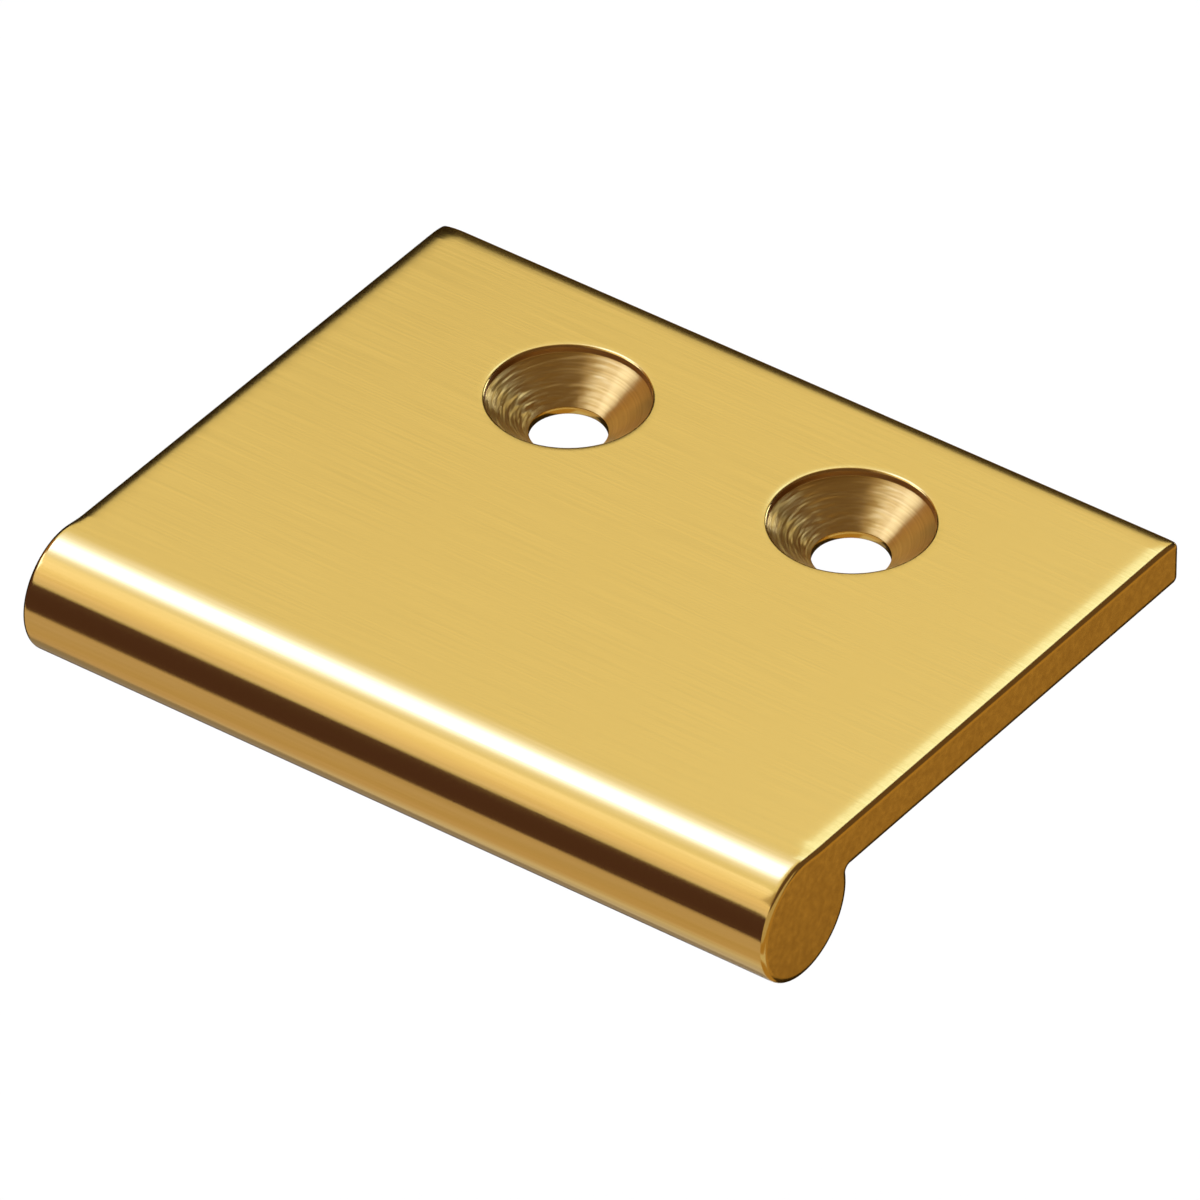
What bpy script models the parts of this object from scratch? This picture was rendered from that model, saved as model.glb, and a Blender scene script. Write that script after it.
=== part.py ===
"""Edge pull for a drawer or cabinet door: a flat brass plate with a round finger bead.

The plate screws down on the top edge of a drawer front, and the bead hangs in front of it
for the fingertips. There are two pieces of brass. The bead is a round bar with a rebate
milled along its upper back quarter. The plate lies in that rebate, with its top level with
the bead's crown, and solder in the gap between them holds the two together.

Units are metres. X runs along the bead, Y from the bead to the plate's back edge, Z is up.
The origin is on the plate's underside, midway between the two screw holes.
"""

import math

import bmesh
import bpy
from mathutils import Matrix

# Driving dimensions.
WIDTH = 0.0508                 # length of the bead, and width of the plate
PLATE_THICKNESS = 0.0030
BEAD_DIAMETER = 0.0079
BEAD_REACH = 0.0262            # from the line of the screws forward to the bead's axis
BACK_MARGIN = 0.0094           # from the line of the screws back to the plate's edge
SCREW_SPACING = 0.0195
SCREW_HOLE_DIAMETER = 0.0045   # clearance for a No. 8 wood screw
COUNTERSINK_DIAMETER = 0.0094
COUNTERSINK_ANGLE = math.radians(90)
EDGE_RADIUS = 0.0004           # all outer edges are eased by this much
SOLDER_GAP = 0.0003            # between the plate and both faces of the rebate

# How finely round shapes are drawn, and how far a cutter runs past what it cuts.
BEAD_SEGMENTS = 96
HOLE_SEGMENTS = 64
EDGE_SEGMENTS = 3
CUT_MARGIN = 0.0010
AXIS_MERGE = 0.00001

# Places that follow from the driving dimensions.
BEAD_RADIUS = BEAD_DIAMETER / 2
BEAD_AXIS_Y = -BEAD_REACH
BEAD_AXIS_Z = PLATE_THICKNESS - BEAD_RADIUS
PLATE_FRONT_Y = BEAD_AXIS_Y + SOLDER_GAP
PLATE_DEPTH = BACK_MARGIN - PLATE_FRONT_Y
REBATE_FLOOR_Z = -SOLDER_GAP

# Both pieces are yellow brass: the plate is brushed along the bead, the bead is polished.
BRASS_COLOUR = (0.72, 0.47, 0.13, 1.0)
BRUSHED_ROUGHNESS = 0.34
POLISHED_ROUGHNESS = 0.10


def clear_scene():
    """Remove whatever objects the scene starts with."""
    for obj in list(bpy.data.objects):
        bpy.data.objects.remove(obj, do_unlink=True)


def add_collection(name):
    """A new collection, linked to the scene."""
    collection = bpy.data.collections.new(name)
    bpy.context.scene.collection.children.link(collection)
    return collection


def add_object(name, shape, collection, location=(0, 0, 0)):
    """An object whose mesh is the finished bmesh shape."""
    mesh = bpy.data.meshes.new(name)
    shape.to_mesh(mesh)
    shape.free()
    obj = bpy.data.objects.new(name, mesh)
    obj.location = location
    collection.objects.link(obj)
    return obj


def add_brass(obj, name, roughness):
    """Give a piece its own brass material."""
    material = bpy.data.materials.new(name)
    material.use_nodes = True
    shader = material.node_tree.nodes["Principled BSDF"]
    shader.inputs["Base Color"].default_value = BRASS_COLOUR
    shader.inputs["Metallic"].default_value = 1.0
    shader.inputs["Roughness"].default_value = roughness
    obj.data.materials.append(material)


def ease_edges(obj, limit_method):
    """Round the piece's outer edges with a live bevel."""
    bevel = obj.modifiers.new("eased_edges", "BEVEL")
    bevel.width = EDGE_RADIUS
    bevel.segments = EDGE_SEGMENTS
    bevel.limit_method = limit_method


def cut(obj, cutter):
    """Take the cutter's shape out of a piece."""
    boolean = obj.modifiers.new(cutter.name, "BOOLEAN")
    boolean.operation = "DIFFERENCE"
    boolean.solver = "EXACT"
    boolean.object = cutter


def mark_as_cutter(obj):
    """Keep a cutter out of the finished part."""
    obj.hide_render = True
    obj.display_type = "WIRE"


def box_shape(size):
    """A box of this size, centred on its object."""
    shape = bmesh.new()
    bmesh.ops.create_cube(shape, size=1)
    bmesh.ops.scale(shape, vec=size, verts=shape.verts)
    return shape


def make_plate(collection):
    """The flat plate. Its front face is inside the joint, so only the edges there stay sharp."""
    shape = box_shape((WIDTH, PLATE_DEPTH, PLATE_THICKNESS))
    weight = shape.edges.layers.float.new("bevel_weight_edge")
    for edge in shape.edges:
        in_joint = all(vert.co.y < 0 for vert in edge.verts)
        edge[weight] = 0.0 if in_joint else 1.0
    middle = (0, (PLATE_FRONT_Y + BACK_MARGIN) / 2, PLATE_THICKNESS / 2)
    plate = add_object("mounting_plate", shape, collection, middle)
    ease_edges(plate, "WEIGHT")
    add_brass(plate, "brushed_brass", BRUSHED_ROUGHNESS)
    return plate


def make_countersink_cutter(name, x, collection):
    """A turned cutter: a cone from the plate's top down to a straight hole through it."""
    slope = math.tan(COUNTERSINK_ANGLE / 2)
    hole_radius = SCREW_HOLE_DIAMETER / 2
    rim_radius = COUNTERSINK_DIAMETER / 2
    cone_depth = (rim_radius - hole_radius) / slope
    profile = [
        (0, CUT_MARGIN),
        (rim_radius + CUT_MARGIN * slope, CUT_MARGIN),
        (hole_radius, -cone_depth),
        (hole_radius, -max(PLATE_THICKNESS, cone_depth) - CUT_MARGIN),
        (0, -max(PLATE_THICKNESS, cone_depth) - CUT_MARGIN),
    ]
    shape = bmesh.new()
    points = [shape.verts.new((radius, 0, height)) for radius, height in profile]
    for upper, lower in zip(points, points[1:]):
        shape.edges.new((upper, lower))
    cutter = add_object(name, shape, collection, (x, 0, PLATE_THICKNESS))
    turn = cutter.modifiers.new("turned", "SCREW")
    turn.steps = HOLE_SEGMENTS
    turn.render_steps = HOLE_SEGMENTS
    turn.use_merge_vertices = True
    turn.merge_threshold = AXIS_MERGE
    mark_as_cutter(cutter)
    return cutter


def make_bead(collection):
    """The round bar, lying along X with its crown level with the plate's top."""
    shape = bmesh.new()
    bmesh.ops.create_cone(
        shape,
        cap_ends=True,
        segments=BEAD_SEGMENTS,
        radius1=BEAD_RADIUS,
        radius2=BEAD_RADIUS,
        depth=WIDTH,
        matrix=Matrix.Rotation(math.radians(90), 4, "Y"),
    )
    # Only the bar's long four-cornered facets are shaded round, and its end discs stay flat.
    for face in shape.faces:
        face.smooth = len(face.verts) == 4
    bead = add_object("finger_bead", shape, collection, (0, BEAD_AXIS_Y, BEAD_AXIS_Z))
    ease_edges(bead, "ANGLE")
    add_brass(bead, "polished_brass", POLISHED_ROUGHNESS)
    return bead


def make_rebate_cutter(collection):
    """A box that clears the bar's upper back quarter, from its axis back and its floor up."""
    length = WIDTH + 2 * CUT_MARGIN
    depth = BEAD_RADIUS + CUT_MARGIN
    height = PLATE_THICKNESS - REBATE_FLOOR_Z + CUT_MARGIN
    middle = (0, BEAD_AXIS_Y + depth / 2, REBATE_FLOOR_Z + height / 2)
    cutter = add_object("rebate_cutter", box_shape((length, depth, height)), collection, middle)
    mark_as_cutter(cutter)
    return cutter


def main():
    """Build the plate and the bead, and hang both on one empty at the origin."""
    clear_scene()
    parts = add_collection("edge_pull")
    cutters = add_collection("cutters")

    plate = make_plate(parts)
    for side, x in (("left", -SCREW_SPACING / 2), ("right", SCREW_SPACING / 2)):
        cut(plate, make_countersink_cutter(f"{side}_screw_hole", x, cutters))

    bead = make_bead(parts)
    cut(bead, make_rebate_cutter(cutters))

    origin = bpy.data.objects.new("edge_pull_origin", None)
    parts.objects.link(origin)
    for piece in (plate, bead):
        piece.parent = origin


main()
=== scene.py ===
"""Looks for a solid brass edge pull: a brushed plate with two countersinks and a polished bead.

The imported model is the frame. Both of its solids are replaced by finer meshes that stand in the
same place: the plate gets eased edges and turned countersinks, the bead gets a smooth round, and
the solder line between them is closed and finished over, as on the real pull. Units are metres.
X runs along the bead, Y from the bead to the plate's back edge, and Z is up.
"""

import logging
import math
from dataclasses import dataclass, field
from enum import Enum
from typing import Any, ClassVar

import bmesh
import bpy
from mathutils import Matrix, Vector, noise


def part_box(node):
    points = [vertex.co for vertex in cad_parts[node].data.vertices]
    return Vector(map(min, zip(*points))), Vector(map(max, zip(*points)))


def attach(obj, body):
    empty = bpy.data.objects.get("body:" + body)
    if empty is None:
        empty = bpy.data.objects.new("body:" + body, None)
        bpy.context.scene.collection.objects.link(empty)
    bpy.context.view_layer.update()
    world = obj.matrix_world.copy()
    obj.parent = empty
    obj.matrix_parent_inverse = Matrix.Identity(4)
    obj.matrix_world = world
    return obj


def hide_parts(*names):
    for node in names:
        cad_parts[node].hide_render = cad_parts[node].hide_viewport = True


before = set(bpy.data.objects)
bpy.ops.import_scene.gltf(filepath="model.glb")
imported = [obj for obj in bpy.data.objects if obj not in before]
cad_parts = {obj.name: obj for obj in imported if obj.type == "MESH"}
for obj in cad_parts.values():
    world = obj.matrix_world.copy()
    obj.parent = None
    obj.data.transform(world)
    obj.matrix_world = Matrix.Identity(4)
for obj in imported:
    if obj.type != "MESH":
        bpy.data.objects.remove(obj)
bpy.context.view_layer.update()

LOG = logging.getLogger("edge_pull")
MM = 0.001
BODY = "root"
PHOTO_PIXELS = 1200
TOUCHING = 0.005 * MM
QUARTER = math.radians(90)
CARD_STEPS = 48
# A face belongs to an end where this much of its normal points along X.
END_FACING = 0.995


def linear(colour: str) -> tuple[float, float, float, float]:
    """Turns an sRGB hex colour to the linear values that shaders take.

    Args:
        colour: Six hex digits after a #.

    Returns:
        Linear red, green and blue, and an alpha of 1.
    """
    shares = [int(colour[place:place + 2], 16) / 255 for place in (1, 3, 5)]
    red, green, blue = (
        share / 12.92 if share <= 0.04045 else ((share + 0.055) / 1.055) ** 2.4
        for share in shares
    )
    return red, green, blue, 1.0


def glow(colour: str, strength: float = 1.0) -> Vector:
    """Gives the light of a card in this sRGB hex colour, where a strength of 1 is white."""
    return Vector(linear(colour)) * strength


def add_node(
    tree: bpy.types.NodeTree,
    kind: str,
    inputs: dict[str | int, Any] | None = None,
    **settings: Any,
) -> bpy.types.Node:
    """Adds a node to a tree, sets it and links it.

    Args:
        tree: The tree that takes the node.
        kind: What follows ShaderNode in the node's type name.
        inputs: A socket to link or a value to set, for each input by name or number.
        settings: The node's own settings.

    Returns:
        The new node.
    """
    node = tree.nodes.new(f"ShaderNode{kind}")
    for name, value in settings.items():
        setattr(node, name, value)
    for name, value in (inputs or {}).items():
        if isinstance(value, bpy.types.NodeSocket):
            tree.links.new(value, node.inputs[name])
        else:
            node.inputs[name].default_value = value
    return node


class Grain(Enum):
    """The way that a surface was worked, which is the way its fine lines run."""

    ALONG_BEAD = "brushed along the bead"
    ROUND_HOLE = "turned with a countersink bit"
    ALL_WAYS = "ground and buffed"


@dataclass(frozen=True)
class BrassFinish:
    """Yellow brass with one kind of surface.

    Attributes:
        name: Name of the material.
        grain: Way that the fine lines run.
        light: Colour of the brass between the lines.
        dark: Colour of the brass in the lines.
        roughness: Middle roughness of the surface.
        spread: How far the roughness goes up and down from the middle.
        line_width: Width of one fine line.
        line_length: Length over which a line keeps its shade.
        relief: Height of the fine lines.
        draw: How far the lines draw the gloss out across them, from 0 to 1.
        detail: How many finer layers of noise the lines have.
        detail_share: Strength of each layer, as a share of the one before.
        deepest: Level of the noise at the bottom of a line.
        highest: Level of the noise between the lines.
    """

    name: str
    grain: Grain
    light: str
    dark: str
    roughness: float
    spread: float
    line_width: float
    line_length: float
    relief: float
    draw: float = 0.0
    detail: float = 4.0
    detail_share: float = 0.6
    deepest: float = 0.3
    highest: float = 0.7

    def material(self) -> bpy.types.Material:
        """Makes the material.

        Returns:
            The new material, whose pattern lies on Object coordinates.
        """
        material = bpy.data.materials.new(self.name)
        material.use_nodes = True
        tree = material.node_tree
        shader = tree.nodes["Principled BSDF"]
        shader.inputs["Metallic"].default_value = 1.0
        shader.inputs["Anisotropic"].default_value = self.draw
        if self.grain is Grain.ROUND_HOLE:
            tree.links.new(self.from_hole(tree), shader.inputs["Tangent"])
        lines = self.lines(tree)
        colour = add_node(
            tree, "Mix", {0: lines, 6: linear(self.dark), 7: linear(self.light)}, data_type="RGBA"
        )
        tree.links.new(colour.outputs[2], shader.inputs["Base Color"])
        tree.links.new(self.roughness_socket(tree, lines), shader.inputs["Roughness"])
        bump = add_node(tree, "Bump", {"Distance": self.relief, "Height": lines})
        tree.links.new(bump.outputs["Normal"], shader.inputs["Normal"])
        return material

    def lines(self, tree: bpy.types.NodeTree) -> bpy.types.NodeSocket:
        """Draws the fine lines that the tool left.

        Args:
            tree: The material's tree.

        Returns:
            A socket that runs from 0 in the lines to 1 between them.
        """
        place = add_node(tree, "TexCoord").outputs["Object"]
        along, across = 1 / self.line_length, 1 / self.line_width
        if self.grain is Grain.ROUND_HOLE:
            away = add_node(tree, "VectorMath", {0: self.from_hole(tree)}, operation="LENGTH")
            waver = add_node(tree, "TexNoise", {"Vector": place, "Scale": along})
            lines = add_node(
                tree, "Math", {0: away.outputs["Value"], 1: across, 2: waver.outputs["Fac"]},
                operation="MULTIPLY_ADD",
            )
            place = add_node(tree, "CombineXYZ", {0: lines.outputs[0]}).outputs[0]
            scale = (1, 1, 1)
        elif self.grain is Grain.ALONG_BEAD:
            scale = (along, across, across)
        else:
            scale = (across, across, across)
        stretched = add_node(tree, "Mapping", {"Vector": place, "Scale": scale})
        uneven = add_node(
            tree, "TexNoise",
            {
                "Vector": stretched.outputs["Vector"], "Scale": 1.0, "Detail": self.detail,
                "Roughness": self.detail_share,
            },
        )
        clear = add_node(
            tree, "MapRange",
            {
                "Value": uneven.outputs["Fac"], "From Min": self.deepest,
                "From Max": self.highest,
            },
        )
        return clear.outputs["Result"]

    def from_hole(self, tree: bpy.types.NodeTree) -> bpy.types.NodeSocket:
        """Measures from the nearer screw hole, as both lie on X and X is 0 midway between them.

        Args:
            tree: The material's tree.

        Returns:
            A socket with the way from the hole to the point.
        """
        place = add_node(tree, "TexCoord").outputs["Object"]
        side = add_node(tree, "VectorMath", {0: place}, operation="SIGN").outputs[0]
        reach = (CountersunkPlate.hole_spacing / 2, 0, 0)
        hole = add_node(tree, "VectorMath", {0: side, 1: reach}, operation="MULTIPLY").outputs[0]
        return add_node(tree, "VectorMath", {0: place, 1: hole}, operation="SUBTRACT").outputs[0]

    def roughness_socket(
        self, tree: bpy.types.NodeTree, lines: bpy.types.NodeSocket
    ) -> bpy.types.NodeSocket:
        """Spreads the roughness over the fine lines.

        Args:
            tree: The material's tree.
            lines: The socket of the fine lines.

        Returns:
            The socket that gives the roughness.
        """
        ranged = add_node(
            tree, "MapRange",
            {
                "Value": lines,
                "To Min": self.roughness + self.spread,
                "To Max": self.roughness - self.spread,
            },
        )
        return ranged.outputs["Result"]


@dataclass(frozen=True)
class EndEdge:
    """The small round that breaks the edge of an end, with a flatter strip that leads into it.

    Attributes:
        radius: Radius of the round.
        lead: Width of the strip on the end's face.
        lean: Tilt of the strip where it meets the round.
        faces: Faces across the round.
        lead_faces: Faces across the strip.
    """

    radius: float
    lead: float
    lean: float
    faces: int = 8
    lead_faces: int = 3

    def steps(self) -> list[tuple[float, float]]:
        """Works out the edge face by face, from the long face to the end.

        Returns:
            How far each face runs along the long face, and how far it drops below it.
        """
        turn = QUARTER - self.lean
        arcs = (
            (self.radius, 0.0, turn, self.faces),
            (self.lead / math.sin(self.lean), turn, QUARTER, self.lead_faces),
        )
        made = []
        for radius, first, last, faces in arcs:
            angles = [first + (last - first) * face / faces for face in range(faces + 1)]
            for before, after in zip(angles, angles[1:]):
                along = radius * (math.sin(after) - math.sin(before))
                made.append((along, radius * (math.cos(before) - math.cos(after))))
        return made

    def reach(self) -> float:
        """Tells how far the edge runs along the long face."""
        return sum(along for along, _ in self.steps())


@dataclass(frozen=True)
class RollOff:
    """How the plate's top sinks towards an edge, where the polishing wheel took more away.

    Attributes:
        width: How far in from the edge the top begins to sink.
        angle: Tilt of the top at the edge.
        faces: Faces across the roll-off.
    """

    width: float
    angle: float
    faces: int = 10

    def places(self, nearest: float) -> list[float]:
        """Spaces the faces out, as distances from the edge, down to the nearest one."""
        step = (self.width - nearest) / self.faces
        return [self.width - step * face for face in range(self.faces)]

    def drop(self, distance: float) -> float:
        """Tells how far the top has sunk at this distance from the edge."""
        share = max(0.0, 1 - distance / self.width)
        return math.tan(self.angle) * self.width * share ** 3 / 3


class Outline:
    """A line drawn in a plane, one stretch after the other."""

    def __init__(
        self, shape: bmesh.types.BMesh, start: Vector, heading: Vector, axis: Vector
    ) -> None:
        """Puts the pen down.

        Args:
            shape: The shape that the line is drawn in.
            start: Where the line begins.
            heading: Which way it sets off.
            axis: Direction that left turns go round.
        """
        self.shape = shape
        self.end = shape.verts.new(start)
        self.heading = heading
        self.axis = axis

    def veer(self, angle: float) -> None:
        """Changes the heading on the spot, to the left by a positive angle."""
        self.heading = Matrix.Rotation(angle, 3, self.axis) @ self.heading

    def ahead(self, distance: float) -> None:
        """Draws a straight stretch.

        Args:
            distance: Length of the stretch.
        """
        made = bmesh.ops.extrude_vert_indiv(self.shape, verts=[self.end])
        self.end = made["verts"][0]
        bmesh.ops.translate(self.shape, verts=[self.end], vec=self.heading * distance)

    def turn(self, radius: float, angle: float, steps: int) -> None:
        """Draws an arc.

        Args:
            radius: Radius of the arc.
            angle: How far it turns, to the left where positive.
            steps: Edges along the arc.
        """
        left = self.axis.cross(self.heading)
        made = bmesh.ops.spin(
            self.shape, geom=[self.end], cent=self.end.co + left * math.copysign(radius, angle),
            axis=self.axis, angle=angle, steps=steps,
        )
        self.end = next(part for part in made["geom_last"] if isinstance(part, bmesh.types.BMVert))
        self.veer(angle)


@dataclass(frozen=True)
class Countersink:
    """A screw hole with a cone for the screw's head, turned with a bit that left rings.

    Attributes:
        rim_radius: Radius of the cone at the plate's face.
        hole_radius: Radius of the straight hole.
        slope: Angle between the cone's wall and the hole's axis.
        rim_round: Radius of the round at the rim.
        rim_wall: Depth of the straight wall between the rim and the cone.
        foot_round: Radius of the round where the cone meets the hole.
        wall_faces: Faces down the cone's wall.
        round_faces: Faces across the rounds.
        ring_pitch: Distance down the wall over which a ring rises or falls.
        ring_height: Height of the rings.
        ring_breaks: How often a ring starts or ends on its way round.
        ring_noise: Smoothness, spacing and number of the layers of noise in the rings.
        pull: Share by which the rings are deeper on the side that the bit pulled to.
        pull_angle: Where that side is, from X towards Y.
        burr: Size of the chamfer at the hole's foot.
        flat: Width of the flat bands that join the hole to the faces of the plate.
        turn_steps: Faces round the hole.
    """

    rim_radius: float = 4.7 * MM
    hole_radius: float = 2.25 * MM
    slope: float = math.radians(50)
    rim_round: float = 0.20 * MM
    rim_wall: float = 0.44 * MM
    foot_round: float = 0.10 * MM
    wall_faces: int = 84
    round_faces: int = 5
    ring_pitch: float = 0.28 * MM
    ring_height: float = 0.030 * MM
    ring_breaks: float = 2.4
    ring_noise: tuple[float, float, int] = (0.9, 2.0, 2)
    pull: float = 0.85
    pull_angle: float = math.radians(215)
    burr: float = 0.06 * MM
    flat: float = 0.35 * MM
    turn_steps: int = 144

    def wall(self) -> float:
        """Finds the length of the cone's wall."""
        return (self.rim_radius - self.hole_radius) / math.sin(self.slope)

    def cone_depth(self) -> float:
        """Finds how deep the foot of the cone lies."""
        return self.rim_wall + self.wall() * math.cos(self.slope)

    def turn_into(
        self, shape: bmesh.types.BMesh, place: Vector, thickness: float
    ) -> list[bmesh.types.BMFace]:
        """Turns the hole's skin, from the flat round its rim to the flat round its foot.

        Args:
            shape: The plate, open above and below.
            place: Middle of the hole, on the plate's upper face.
            thickness: Thickness of the plate.

        Returns:
            The faces of the skin.
        """
        before = set(shape.edges)
        foot_reach = self.foot_round * math.tan(self.slope / 2)
        start = place + Vector((self.rim_radius + self.rim_round + self.flat, 0, 0))
        pen = Outline(shape, start, Vector((-1, 0, 0)), Vector((0, -1, 0)))
        pen.ahead(self.flat)
        pen.turn(self.rim_round, QUARTER, self.round_faces)
        pen.ahead(self.rim_wall - self.rim_round)
        pen.veer(-self.slope)
        for _ in range(self.wall_faces):
            pen.ahead((self.wall() - foot_reach) / self.wall_faces)
        pen.turn(self.foot_round, self.slope, self.round_faces)
        pen.ahead(thickness - self.cone_depth() - foot_reach - self.burr)
        pen.veer(QUARTER / 2)
        pen.ahead(self.burr / math.cos(QUARTER / 2))
        pen.veer(QUARTER / 2)
        pen.ahead(self.flat)
        drawn = [edge for edge in shape.edges if edge not in before]
        corners = list(dict.fromkeys(vert for edge in drawn for vert in edge.verts))
        faces = set(shape.faces)
        bmesh.ops.spin(
            shape, geom=corners + drawn, cent=place, axis=(0, 0, 1), angle=math.tau,
            steps=self.turn_steps, use_merge=True,
        )
        skin = [face for face in shape.faces if face not in faces]
        for vert in {vert for face in skin for vert in face.verts}:
            vert.co += self.ring(vert.co - place, place.x)
        return skin

    def ring(self, place: Vector, seed: float) -> Vector:
        """Scores the cone with uneven rings, which break off and start again on their way round.

        Args:
            place: A point of the skin, from the middle of the rim.
            seed: A length that is another one for each hole.

        Returns:
            How far the point moves out of the cone's wall, or nothing off the wall.
        """
        down = (-place.z - self.rim_wall) / math.cos(self.slope)
        inside = min(down, self.wall() - self.foot_round - down)
        if inside <= 0:
            return Vector()
        way = Vector((place.x, place.y, 0)).normalized()
        spot = way * self.ring_breaks + Vector((0, 0, (down + seed) / self.ring_pitch))
        pulled = 1 + self.pull * way.dot((math.cos(self.pull_angle), math.sin(self.pull_angle), 0))
        height = self.ring_height * min(1.0, inside / self.ring_pitch) * pulled
        out = Vector((0, 0, math.sin(self.slope))) - way * math.cos(self.slope)
        return out * height * noise.fractal(spot, *self.ring_noise)


class Side(Enum):
    """The two sides of the joint that the finished body is cut along."""

    PLATE = "above the joint"
    BEAD = "below the joint and in front of it"


@dataclass
class FinishedBody:
    """The whole pull as it was ground and polished, with its two pieces already joined.

    Attributes:
        left_edge: Edge of the left end.
        right_edge: Edge of the right end.
        back_radius: Radius of the two rounds along the back.
        back_faces: Faces across each of these rounds, and across the solder.
        right_roll: How the top sinks towards the right end, at the back.
        right_front_roll: The same at the front.
        left_roll: How the top sinks towards the left end, at the back.
        left_front_roll: The same at the front.
        back_roll: How the top sinks towards the back.
        bead_roll: How the bead's upper front sinks towards the right end.
        crown_width: Depth behind the bead's axis over which the crown becomes the plate's top.
        crown_faces: Faces across that depth.
        solder_fillet: Radius of the solder between the bead and the underside.
        bead_steps: Faces round the bead.
        half_length: Half the length of the bead.
        back: Where the back edge is along Y.
        top: Height of the plate's top.
        underside: Height of the plate's underside.
        radius: Radius of the bead.
        axis: Middle of the bead's axis.
        joint: Middle of the corner where the two faces of the joint meet.
    """

    left_edge: EndEdge = EndEdge(0.38 * MM, 0.02 * MM, math.radians(12))
    right_edge: EndEdge = EndEdge(0.24 * MM, 0.22 * MM, math.radians(12))
    back_radius: float = 0.42 * MM
    back_faces: int = 8
    right_roll: RollOff = RollOff(0.95 * MM, math.radians(12))
    right_front_roll: RollOff = RollOff(1.75 * MM, math.radians(15))
    left_roll: RollOff = RollOff(2.0 * MM, math.radians(20))
    left_front_roll: RollOff = RollOff(0.97 * MM, math.radians(33))
    back_roll: RollOff = RollOff(1.76 * MM, math.radians(19))
    bead_roll: RollOff = RollOff(1.1 * MM, math.radians(9))
    crown_width: float = 1.6 * MM
    crown_faces: int = 8
    solder_fillet: float = 0.30 * MM
    bead_steps: int = 216
    half_length: float = field(init=False)
    back: float = field(init=False)
    top: float = field(init=False)
    underside: float = field(init=False)
    radius: float = field(init=False)
    axis: Vector = field(init=False)
    joint: Vector = field(init=False)

    def __post_init__(self) -> None:
        """Takes the body's outer sizes from the frame."""
        plate_low, plate_high = (Vector(corner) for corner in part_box(CountersunkPlate.node))
        bead_low, bead_high = (Vector(corner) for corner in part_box(FingerBead.node))
        self.half_length = plate_high.x
        self.back = plate_high.y
        self.top = plate_high.z
        self.underside = plate_low.z
        self.radius = (bead_high.z - bead_low.z) / 2
        self.axis = (bead_low + bead_high) / 2
        half_gap = (plate_low.y - self.axis.y) / 2
        self.joint = Vector((0, self.axis.y + half_gap, self.underside - half_gap))

    def crown(self) -> Vector:
        """Finds the middle of the bead's crown."""
        return Vector((0, self.axis.y, self.top))

    def build(self) -> bmesh.types.BMesh:
        """Models the body.

        Returns:
            The closed body, without its holes.
        """
        shape = bmesh.new()
        self.draw_section(shape)
        bmesh.ops.remove_doubles(shape, verts=shape.verts, dist=TOUCHING)
        section = bmesh.ops.contextual_create(shape, geom=shape.edges[:])["faces"]
        made = bmesh.ops.extrude_face_region(shape, geom=section)
        moved = [part for part in made["geom"] if isinstance(part, bmesh.types.BMVert)]
        length = 2 * self.half_length - self.left_edge.reach() - self.right_edge.reach()
        bmesh.ops.translate(shape, verts=moved, vec=(length, 0, 0))
        bmesh.ops.recalc_face_normals(shape, faces=shape.faces)
        ends = (
            (-1, self.left_edge, self.left_roll), (1, self.right_edge, self.right_front_roll)
        )
        for outward, edge, roll in ends:
            end = max(shape.faces, key=lambda face: face.calc_center_median().x * outward)
            for along, drop in edge.steps():
                bmesh.ops.inset_region(
                    shape, faces=[end], thickness=drop, depth=along, use_even_offset=True,
                    use_boundary=True,
                )
            for distance in roll.places(edge.reach()):
                bmesh.ops.bisect_plane(
                    shape, geom=shape.verts[:] + shape.edges[:] + shape.faces[:], dist=TOUCHING,
                    plane_co=(outward * (self.half_length - distance), 0, 0), plane_no=(1, 0, 0),
                )
        self.roll_top(shape)
        return shape

    def roll_top(self, shape: bmesh.types.BMesh) -> None:
        """Sinks the plate's top towards its ends and its back, and the bead's front at the right.

        Args:
            shape: The body, with its top still flat and its bead straight.
        """
        middle = (self.top + self.underside) / 2
        for vert in shape.verts:
            from_crown = (vert.co.y - self.axis.y) / self.crown_width
            bead_drop = self.bead_roll.drop(self.half_length - vert.co.x)
            if vert.co.z > middle and from_crown > 0:
                share = min(from_crown, 1.0)
                ease = share * share * (3 - 2 * share)
                drop = bead_drop * (1 - ease) + self.end_drop(vert.co) * ease
                vert.co.z -= drop + self.back_roll.drop(self.back - vert.co.y)
            elif from_crown <= 0:
                spoke = Vector((0, vert.co.y - self.axis.y, vert.co.z - self.axis.z)) / self.radius
                vert.co -= spoke * bead_drop * (1 + spoke.z) / 2

    def end_drop(self, place: Vector) -> float:
        """Tells how far the top has sunk towards the nearer end, from front to back.

        Args:
            place: A point on the plate's top.

        Returns:
            The drop.
        """
        distance = self.half_length - abs(place.x)
        front, back = self.left_front_roll, self.left_roll
        if place.x > 0:
            front, back = self.right_front_roll, self.right_roll
        depth = (place.y - self.axis.y) / (self.back - self.axis.y)
        return front.drop(distance) * (1 - depth) + back.drop(distance) * depth

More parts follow.
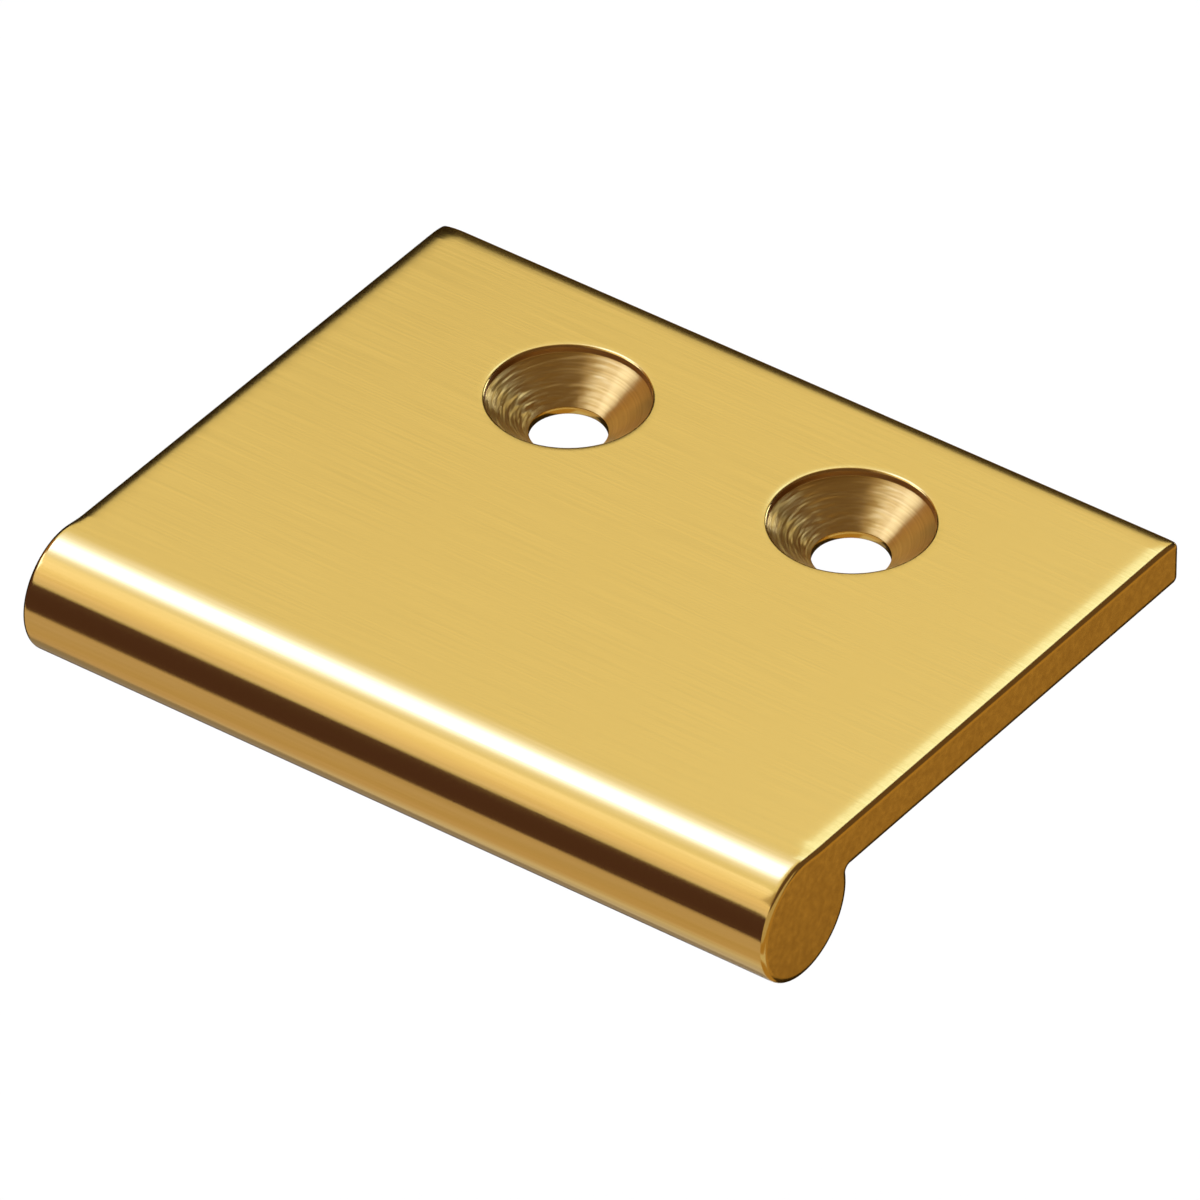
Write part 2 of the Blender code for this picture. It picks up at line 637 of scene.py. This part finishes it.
    def draw_section(self, shape: bmesh.types.BMesh) -> None:
        """Draws the section across the bead, from the crown round the bead and the plate.

        Args:
            shape: The empty shape that the section is drawn in.
        """
        above_axis = self.underside - self.axis.z
        lift = math.asin(
            (above_axis - self.solder_fillet) / (self.radius + self.solder_fillet)
        )
        start = self.crown() - Vector((self.half_length - self.left_edge.reach(), 0, 0))
        pen = Outline(shape, start, Vector((0, -1, 0)), Vector((1, 0, 0)))
        pen.turn(self.radius, 3 * QUARTER + lift, self.bead_steps)
        pen.turn(self.solder_fillet, -QUARTER - lift, self.back_faces)
        pen.ahead(self.back - self.back_radius - pen.end.co.y)
        pen.turn(self.back_radius, QUARTER, self.back_faces)
        pen.ahead(self.top - self.back_radius - pen.end.co.z)
        pen.turn(self.back_radius, QUARTER, self.back_faces)
        for distance in reversed(self.back_roll.places(self.back_radius)):
            pen.ahead(pen.end.co.y - self.back + distance)
        for face in range(self.crown_faces, -1, -1):
            place = self.axis.y + self.crown_width * face / self.crown_faces
            pen.ahead(pen.end.co.y - place)

    def cut(self, side: Side) -> bmesh.types.BMesh:
        """Cuts the body along the joint and keeps one side.

        Args:
            side: The side to keep.

        Returns:
            The closed piece, with sharp edges round its two faces in the joint.
        """
        shape = self.build()
        for normal in ((0, 1, 0), (0, 0, 1)):
            bmesh.ops.bisect_plane(
                shape, geom=shape.verts[:] + shape.edges[:] + shape.faces[:], dist=TOUCHING,
                plane_co=self.joint, plane_no=normal,
            )
        waste = []
        for face in shape.faces:
            middle = face.calc_center_median()
            in_plate = middle.y > self.joint.y and middle.z > self.joint.z
            if in_plate != (side is Side.PLATE):
                waste.append(face)
        bmesh.ops.delete(shape, geom=waste, context="FACES")
        corner = [
            vert for vert in shape.verts
            if max(abs(vert.co.y - self.joint.y), abs(vert.co.z - self.joint.z)) < TOUCHING
        ]
        bmesh.ops.contextual_create(shape, geom=corner)
        for axis in (1, 2):
            rim = open_edges(shape, axis, self.joint[axis])
            made = bmesh.ops.contextual_create(shape, geom=rim)
            for face in made["faces"]:
                for edge in face.edges:
                    edge.smooth = False
        return shape


def open_edges(shape: bmesh.types.BMesh, axis: int, place: float) -> list[bmesh.types.BMEdge]:
    """Finds the edges that lie on a plane and still lack a face.

    Args:
        shape: The shape to look through.
        axis: 0, 1 or 2 for a plane across X, Y or Z.
        place: Where the plane cuts that axis.

    Returns:
        The edges.
    """
    return [
        edge for edge in shape.edges
        if len(edge.link_faces) < 2
        and all(abs(vert.co[axis] - place) < TOUCHING for vert in edge.verts)
    ]


@dataclass
class BrassPiece:
    """A piece of brass that stands for one solid of the frame.

    Attributes:
        body: The body that the piece is cut from.
        piece_name: Name of the piece.
        node: The solid that it stands for.
        slot: The solid's material slot.
    """

    body: FinishedBody
    piece_name: ClassVar[str]
    node: ClassVar[str]
    slot: ClassVar[str]

    def build(self) -> bmesh.types.BMesh:
        """Models the piece's shape, in the frame."""
        raise NotImplementedError

    def finishes(self) -> list[BrassFinish]:
        """Lists the finishes in the order of the faces' material numbers."""
        raise NotImplementedError

    def dress(self) -> bpy.types.Object:
        """Turns the shape into a finished object that rides on the frame.

        Returns:
            The piece's object.
        """
        shape = self.build()
        bmesh.ops.recalc_face_normals(shape, faces=shape.faces)
        for face in shape.faces:
            face.smooth = True
        mesh = bpy.data.meshes.new(self.piece_name)
        shape.to_mesh(mesh)
        shape.free()
        for finish in self.finishes():
            mesh.materials.append(finish.material())
        piece = bpy.data.objects.new(self.piece_name, mesh)
        bpy.context.scene.collection.objects.link(piece)
        even = piece.modifiers.new("even_shading", "WEIGHTED_NORMAL")
        even.keep_sharp = True
        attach(piece, BODY)
        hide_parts(self.node)
        return piece


@dataclass
class CountersunkPlate(BrassPiece):
    """The flat plate: brushed on top, eased at its edges, with two countersunk screw holes.

    Attributes:
        hole: One screw hole.
        hole_spacing: Distance between the two holes.
    """

    piece_name: ClassVar[str] = "brushed_plate"
    node: ClassVar[str] = "mounting_plate"
    slot: ClassVar[str] = "brushed_brass"
    hole: Countersink = Countersink()
    hole_spacing: float = 19.5 * MM

    def finishes(self) -> list[BrassFinish]:
        """Lists the brass of the faces, the cones, the ends and the painted shade on the walls
        under the rims.
        """
        return [BRUSHED_BRASS, TURNED_BRASS, GROUND_BRASS, RIM_SHADE_BRASS]

    def build(self) -> bmesh.types.BMesh:
        """Models the plate, with the screw holes on the frame's X axis.

        Returns:
            The plate's shape.
        """
        body, hole, finishes = self.body, self.hole, self.finishes()
        shape = body.cut(Side.PLATE)
        for face in shape.faces:
            if abs(face.normal.x) > END_FACING:
                face.material_index = finishes.index(GROUND_BRASS)
        faces = sorted(shape.faces, key=lambda face: face.calc_area())[-2:]
        bmesh.ops.delete(shape, geom=faces, context="FACES_ONLY")
        for side in (-1, 1):
            place = Vector((side * self.hole_spacing / 2, 0, body.top))
            for face in hole.turn_into(shape, place, body.top - body.underside):
                depths = [body.top - vert.co.z for vert in face.verts]
                depth = sum(depths) / len(depths)
                if hole.rim_wall < depth < hole.cone_depth():
                    face.material_index = finishes.index(TURNED_BRASS)
                # Painted shade: the walls just under the rims get a darker brass, for the shade
                # there.
                elif hole.rim_round / 2 < depth < hole.rim_wall:
                    face.material_index = finishes.index(RIM_SHADE_BRASS)
        for height in (body.top, body.underside):
            bmesh.ops.triangle_fill(shape, edges=open_edges(shape, 2, height), use_beauty=True)
        return shape


@dataclass
class FingerBead(BrassPiece):
    """The round bead along the front edge, polished, with the plate let into its upper back."""

    piece_name: ClassVar[str] = "polished_bead"
    node: ClassVar[str] = "finger_bead"
    slot: ClassVar[str] = "polished_brass"

    def finishes(self) -> list[BrassFinish]:
        """Lists the brass of the round and the ends."""
        return [POLISHED_BRASS, GROUND_BRASS]

    def build(self) -> bmesh.types.BMesh:
        """Models the bead.

        Returns:
            The bead's shape.
        """
        shape = self.body.cut(Side.BEAD)
        for face in shape.faces:
            if abs(face.normal.x) > END_FACING:
                face.material_index = self.finishes().index(GROUND_BRASS)
        return shape


class Sweep(Enum):
    """How a card gets its second dimension."""

    ROUND = "turned round the pull"
    ACROSS = "drawn straight along X"


@dataclass(frozen=True)
class GlowCard:
    """A card that only the brass's reflections see.

    It lights no floor, throws no shadow and hides nothing from the camera.

    Attributes:
        name: Name of the card.
        line: Points across the card: a distance from the origin, a height and a glow.
        sweep: How the line becomes a card.
        start: Where the sweep begins: degrees from the front to the right, or metres along X.
        end: Where the sweep ends.
    """

    name: str
    line: list[tuple[float, float, Vector]]
    sweep: Sweep
    start: float
    end: float

    def make(self) -> bpy.types.Object:
        """Makes the card.

        Returns:
            The card's object.
        """
        shape = bmesh.new()
        painted = shape.verts.layers.float_color.new("glow")
        for away, height, light in self.line:
            shape.verts.new((0, away, height))[painted] = light
        shape.verts.ensure_lookup_table()
        edges = [shape.edges.new(pair) for pair in zip(shape.verts, shape.verts[1:])]
        geometry = shape.verts[:] + edges
        if self.sweep is Sweep.ROUND:
            first = Matrix.Rotation(math.radians(self.start + 180), 3, "Z")
            bmesh.ops.rotate(shape, cent=(0, 0, 0), matrix=first, verts=shape.verts)
            bmesh.ops.spin(
                shape, geom=geometry, cent=(0, 0, 0), axis=(0, 0, 1),
                angle=math.radians(self.end - self.start), steps=CARD_STEPS,
            )
        else:
            bmesh.ops.translate(shape, vec=(self.start, 0, 0), verts=shape.verts)
            made = bmesh.ops.extrude_edge_only(shape, edges=edges)["geom"]
            moved = [part for part in made if isinstance(part, bmesh.types.BMVert)]
            bmesh.ops.translate(shape, vec=(self.end - self.start, 0, 0), verts=moved)
        mesh = bpy.data.meshes.new(self.name)
        shape.to_mesh(mesh)
        shape.free()
        mesh.materials.append(self.material())
        card = bpy.data.objects.new(self.name, mesh)
        bpy.context.scene.collection.objects.link(card)
        card.visible_camera = False
        card.visible_diffuse = False
        card.visible_shadow = False
        return card

    def material(self) -> bpy.types.Material:
        """Makes the card's glow, from the colours that its points carry.

        Returns:
            The new material.
        """
        material = bpy.data.materials.new(self.name)
        material.use_nodes = True
        tree = material.node_tree
        tree.nodes.clear()
        painted = add_node(tree, "Attribute", attribute_name="glow")
        lit = add_node(tree, "Emission", {"Color": painted.outputs["Color"]})
        add_node(tree, "OutputMaterial", {"Surface": lit.outputs["Emission"]})
        return material


@dataclass(frozen=True)
class Studio:
    """The white room: a pale floor, an even sky, a soft lamp and cards for the brass to mirror.

    Attributes:
        floor_drop: How far the floor lies below the plate's underside.
        floor_size: Width of the floor.
        floor_colour: Colour of its matt paint.
        floor_roughness: Roughness of that paint.
        lamp_height: Height of the soft lamp.
        lamp_size: Width of the lamp.
        lamp_watts: Power of the lamp.
        box_height: Height of the cards that hang over the pull.
        wall: Distance of the walls round the pull.
        near_wall: Distance of the cards that stand in front of the walls.
        lift: Height of the lowest cards above the floor.
        crown_shares: How light swells and fades across the strip over the bead: places in shares
            of its height, each with a share of its full light.
    """

    floor_drop: float = 110 * MM
    floor_size: float = 6.0
    floor_colour: str = "#EDEDED"
    floor_roughness: float = 0.9
    lamp_height: float = 0.9
    lamp_size: float = 0.6
    lamp_watts: float = 2.4
    box_height: float = 0.45
    wall: float = 0.30
    near_wall: float = 0.28
    lift: float = 2 * MM
    crown_shares: tuple[tuple[float, float], ...] = (
        (-0.60, 0.0), (-0.445, 0.03), (-0.33, 0.11), (-0.22, 0.36), (-0.115, 0.95), (0.04, 1.22),
        (0.20, 0.90), (0.32, 0.42), (0.44, 0.24), (0.58, 0.12), (0.74, 0.055), (0.95, 0.0),
    )

    def build(self) -> None:
        """Sets up the room, the light and the cards."""
        scene = bpy.context.scene
        scene.view_settings.view_transform = "Standard"
        world = bpy.data.worlds.new("white_room")
        world.use_nodes = True
        world.node_tree.nodes["Background"].inputs["Color"].default_value = (1, 1, 1, 1)
        world.node_tree.nodes["Background"].inputs["Strength"].default_value = 1.0
        scene.world = world
        self.make_floor()
        self.make_lamp()
        for card in (*self.softboxes(), *self.walls(), *self.table()):
            LOG.info("%s: card", card.make().name)

    def foot(self) -> float:
        """Finds the height of the lowest cards."""
        return self.lift - self.floor_drop

    def softboxes(self) -> list[GlowCard]:
        """Hangs a strip for the bead's highlight, a wide one for the edges and flags by them.

        Returns:
            The cards over the pull.
        """
        height = self.box_height
        white, full, dim = glow("#FFFFFF"), glow("#8A9FFF", 8.7), glow("#AFC5FF", 3.4)
        crown = [
            (place * height, height, white.lerp(full, share)) for place, share in self.crown_shares
        ]
        edge = [
            (0.66 * height, height, white),
            (0.74 * height, height, dim),
            (1.02 * height, height, dim),
            (1.10 * height, height, white),
        ]
        tan, umber = glow("#A08B7A"), glow("#6A564A")
        pale_flag = [(-0.75 * height, height, tan), (0.6 * height, height, tan)]
        dark_flag = [(-0.75 * height, height, umber), (0.6 * height, height, umber)]
        return [
            GlowCard("left_strip", crown, Sweep.ACROSS, -0.80 * height, -0.33 * height),
            GlowCard("wide_strip", edge, Sweep.ACROSS, -0.55 * height, 0.28 * height),
            GlowCard("pale_flag", pale_flag, Sweep.ACROSS, -0.20 * height, 0.03 * height),
            GlowCard("dark_flag", dark_flag, Sweep.ACROSS, 0.03 * height, 0.80 * height),
        ]

    def walls(self) -> list[GlowCard]:
        """Stands walls, dark flags and bright windows round the pull, and sky above the front.

        Returns:
            The upright cards.
        """
        wall, near, foot = self.wall, self.near_wall, self.foot()
        dark, black, brown = glow("#533A3F"), glow("#2E2414"), glow("#A3824D")
        umber, tan, sand = glow("#6A5448"), glow("#AB7D47"), glow("#C9BBAF")
        shadow, dusk = glow("#40341F"), glow("#A08B7A")
        spot, pane = glow("#C4D4FF", 9.5), glow("#AFBDFF", 5.9)
        sky = [
            (wall, 0.0985, glow("#F7ECFF", 0.93)),
            (wall, 0.163, glow("#FFF2F7", 1.05)),
            (wall, 0.238, glow("#FFF8FB", 1.22)),
            (wall, 0.330, glow("#E5E5FF", 1.70)),
            (wall, 0.382, glow("#E3E6FF", 1.74)),
        ]
        front = [(wall, foot, dark), (wall, 0.0925, dark)]
        side = [(near, 0.13, umber), (near, 0.42, umber)]
        right = [(wall, foot, sand), (wall, 0.15, sand)]
        end = [(near, foot, umber), (near, 0.13, umber)]
        back = [(wall, foot, brown), (wall, 0.0, shadow), (wall, 0.170, shadow)]
        corner = [(wall, foot, black), (wall, 0.184, black)]
        left = [(wall, foot, black), (wall, 0.055, black), (wall, 0.070, tan), (wall, 0.340, tan)]
        low_left = [(wall, foot, dark), (wall, 0.135, dark)]
        high = [(near, 0.16, umber), (near, 0.42, umber)]
        window = [(near, 0.145, pane), (near, 0.250, pane)]
        glint = [(near, -0.005, spot), (near, 0.055, spot)]
        dot = [(14 * MM, 2.7 * MM, black), (14 * MM, 5.2 * MM, black)]
        shade = [(near, 0.19, sand), (near, 0.42, sand)]
        evening = [(near, 0.19, dusk), (near, 0.42, dusk)]
        return [
            GlowCard("front_sky", sky, Sweep.ROUND, -62, 8),
            GlowCard("front_flag", front, Sweep.ROUND, -62, 4),
            GlowCard("right_wall", right, Sweep.ROUND, 4, 110),
            GlowCard("front_shade", shade, Sweep.ROUND, -26, -14),
            GlowCard("front_dusk", evening, Sweep.ROUND, -14, 8),
            GlowCard("left_flag", low_left, Sweep.ROUND, -74, -62),
            GlowCard("side_flag", side, Sweep.ROUND, 8, 140),
            GlowCard("end_flag", end, Sweep.ROUND, 108, 140),
            GlowCard("high_flag", high, Sweep.ROUND, 140, 165),
            GlowCard("back_flag", back, Sweep.ROUND, 110, 217),
            GlowCard("corner_flag", corner, Sweep.ROUND, 217, 255),
            GlowCard("left_wall", left, Sweep.ROUND, -105, -74),
            GlowCard("left_window", window, Sweep.ROUND, -77, -48),
            GlowCard("back_window", glint, Sweep.ROUND, 159, 179),
            GlowCard("small_corner_flag", dot, Sweep.ACROSS, 24.6 * MM, 29 * MM),
        ]

    def table(self) -> list[GlowCard]:
        """Lays cards on the floor: pale in front, brown at the right, grey and black elsewhere, and
        a painted shadow of the pull in black under its right back.

        Returns:
            The level cards.
        """
        foot, wall = self.foot(), self.wall
        black, brown = glow("#2E2414"), glow("#BA9559")
        grey, pale = glow("#9A9086"), glow("#DFD9DA")
        front = [
            (0.0, foot, glow("#C8C2C4")),
            (0.055, foot, glow("#D3CDCE")),
            (0.062, foot, pale),
            (0.090, foot, glow("#D2BCAA")),
            (0.124, foot, glow("#CDB8A4")),
            (0.180, foot, glow("#D0BEBD")),
            (wall, foot, glow("#D0BEBD")),
        ]
        # Painted shadow: black from under the pull out to 0.085 m stands for its own shadow on the
        # table, seen only in the brass.
        back = [(0.0, foot, black), (0.085, foot, black), (0.095, foot, brown), (wall, foot, brown)]
        left = [(0.0, foot, grey), (0.094, foot, grey), (0.104, foot, black), (wall, foot, black)]
        far = [(0.03, foot + MM, black), (wall, foot + MM, black)]
        right = [
            (0.0, foot, brown),
            (0.115, foot, brown),
            (0.120, foot, pale),
            (0.156, foot, pale),
            (0.163, foot, brown),
            (wall, foot, brown),
        ]
        return [
            GlowCard("front_table", front, Sweep.ROUND, -65, 5),
            GlowCard("right_table", right, Sweep.ROUND, 5, 105),
            GlowCard("back_table_with_painted_shadow", back, Sweep.ROUND, 105, 165),
            GlowCard("far_table", far, Sweep.ACROSS, -0.20, 0.092),
            GlowCard("left_table", left, Sweep.ROUND, -125, -65),
        ]

    def make_floor(self) -> None:
        """Lays the pale floor, well below the pull, so that its shadow stays soft."""
        shape = bmesh.new()
        bmesh.ops.create_grid(shape, x_segments=1, y_segments=1, size=self.floor_size / 2)
        bmesh.ops.translate(shape, vec=(0, 0, -self.floor_drop), verts=shape.verts)
        mesh = bpy.data.meshes.new("pale_floor")
        shape.to_mesh(mesh)
        shape.free()
        material = bpy.data.materials.new("matt_white_paint")
        material.use_nodes = True
        shader = material.node_tree.nodes["Principled BSDF"]
        shader.inputs["Base Color"].default_value = linear(self.floor_colour)
        shader.inputs["Roughness"].default_value = self.floor_roughness
        mesh.materials.append(material)
        floor = bpy.data.objects.new("pale_floor", mesh)
        bpy.context.scene.collection.objects.link(floor)

    def make_lamp(self) -> None:
        """Hangs the soft lamp that gives the floor its shadow."""
        lamp = bpy.data.lights.new("soft_lamp", "AREA")
        lamp.size = self.lamp_size
        lamp.energy = self.lamp_watts
        hung = bpy.data.objects.new("soft_lamp", lamp)
        hung.location = (0, 0, self.lamp_height)
        hung.visible_glossy = False
        bpy.context.scene.collection.objects.link(hung)


@dataclass(frozen=True)
class PhotoCamera:
    """The camera, where the photograph was taken from.

    Attributes:
        azimuth: Angle from the front of the pull to its right.
        elevation: Angle above the level of the pull.
        distance: Distance to the plane through the crown that faces the camera.
        aim_right: How far to the right of the crown the middle of the picture lies.
        aim_up: How far above the crown it lies.
        focal_pixels: Focal length in pixels of the photograph.
        sensor: Width of the sensor in millimetres.
    """

    azimuth: float = math.radians(36.113)
    elevation: float = math.radians(37.662)
    distance: float = 1024.18 * MM
    aim_right: float = 9.337 * MM
    aim_up: float = 4.994 * MM
    focal_pixels: float = 18645.0
    sensor: float = 36.0

    def place(self, crown: Vector) -> None:
        """Sets the camera up.

        Args:
            crown: The middle of the bead's crown, which the photograph was fitted from.
        """
        turn, rise = self.azimuth, self.elevation
        right = Vector((math.cos(turn), math.sin(turn), 0))
        back = Vector(
            (math.sin(turn) * math.cos(rise), -math.cos(turn) * math.cos(rise), math.sin(rise))
        )
        up = back.cross(right)
        data = bpy.data.cameras.new("photo_camera")
        data.sensor_fit = "HORIZONTAL"
        data.sensor_width = self.sensor
        data.lens = self.sensor * self.focal_pixels / PHOTO_PIXELS
        camera = bpy.data.objects.new("photo_camera", data)
        camera.matrix_world = Matrix((right, up, back)).transposed().to_4x4()
        camera.location = crown + right * self.aim_right + up * self.aim_up + back * self.distance
        bpy.context.scene.collection.objects.link(camera)
        bpy.context.scene.camera = camera


# Satin brass, brushed along the bead: warm yellow, with faint long streaks that spread its gloss.
# Real brush lines are too fine to show here, so on both pieces they are drawn a few times wider.
BRUSHED_BRASS = BrassFinish(
    name="brushed_brass", grain=Grain.ALONG_BEAD, light="#E3BF64", dark="#DDB95D",
    roughness=0.17, spread=0.03, line_width=0.12 * MM, line_length=9 * MM, relief=0.0002 * MM,
)
# The same brass on the bead, polished after brushing: a soft mirror with fine long streaks.
POLISHED_BRASS = BrassFinish(
    name="polished_brass", grain=Grain.ALONG_BEAD, light="#E1BF69", dark="#DBB960",
    roughness=0.14, spread=0.03, line_width=0.2 * MM, line_length=12 * MM, relief=0.0003 * MM,
)
# Brass cut by a countersink bit and left so: brown gold, darker where polish stayed in the lines.
TURNED_BRASS = BrassFinish(
    name="turned_brass", grain=Grain.ROUND_HOLE, light="#E6C26A", dark="#CFA653",
    roughness=0.31, spread=0.04, line_width=0.16 * MM, line_length=3 * MM, relief=0.002 * MM,
    draw=0.95,
)
# The same cut brass close under the rim, painted darker as the shade that falls under the rim: a
# dull dark brown line.
RIM_SHADE_BRASS = BrassFinish(
    name="rim_shade_brass", grain=Grain.ROUND_HOLE, light="#AE8244", dark="#86602F",
    roughness=0.40, spread=0.05, line_width=0.16 * MM, line_length=3 * MM, relief=0.002 * MM,
    draw=0.5,
)
# Brass ground flat on a belt and lightly buffed: an even brown gold with fine scuffs.
GROUND_BRASS = BrassFinish(
    name="ground_brass", grain=Grain.ALL_WAYS, light="#E0BE67", dark="#D4AF59",
    roughness=0.22, spread=0.05, line_width=0.5 * MM, line_length=1 * MM, relief=0.0004 * MM,
)


def main() -> None:
    """Builds the pull and its studio."""
    logging.basicConfig(level=logging.INFO, format="%(name)s: %(message)s")
    body = FinishedBody()
    for piece in (CountersunkPlate(body), FingerBead(body)):
        faces = len(piece.dress().data.polygons)
        LOG.info("%s: %d faces, for %s", piece.piece_name, faces, piece.node)
    Studio().build()
    PhotoCamera().place(body.crown())


if __name__ == "__main__":
    main()
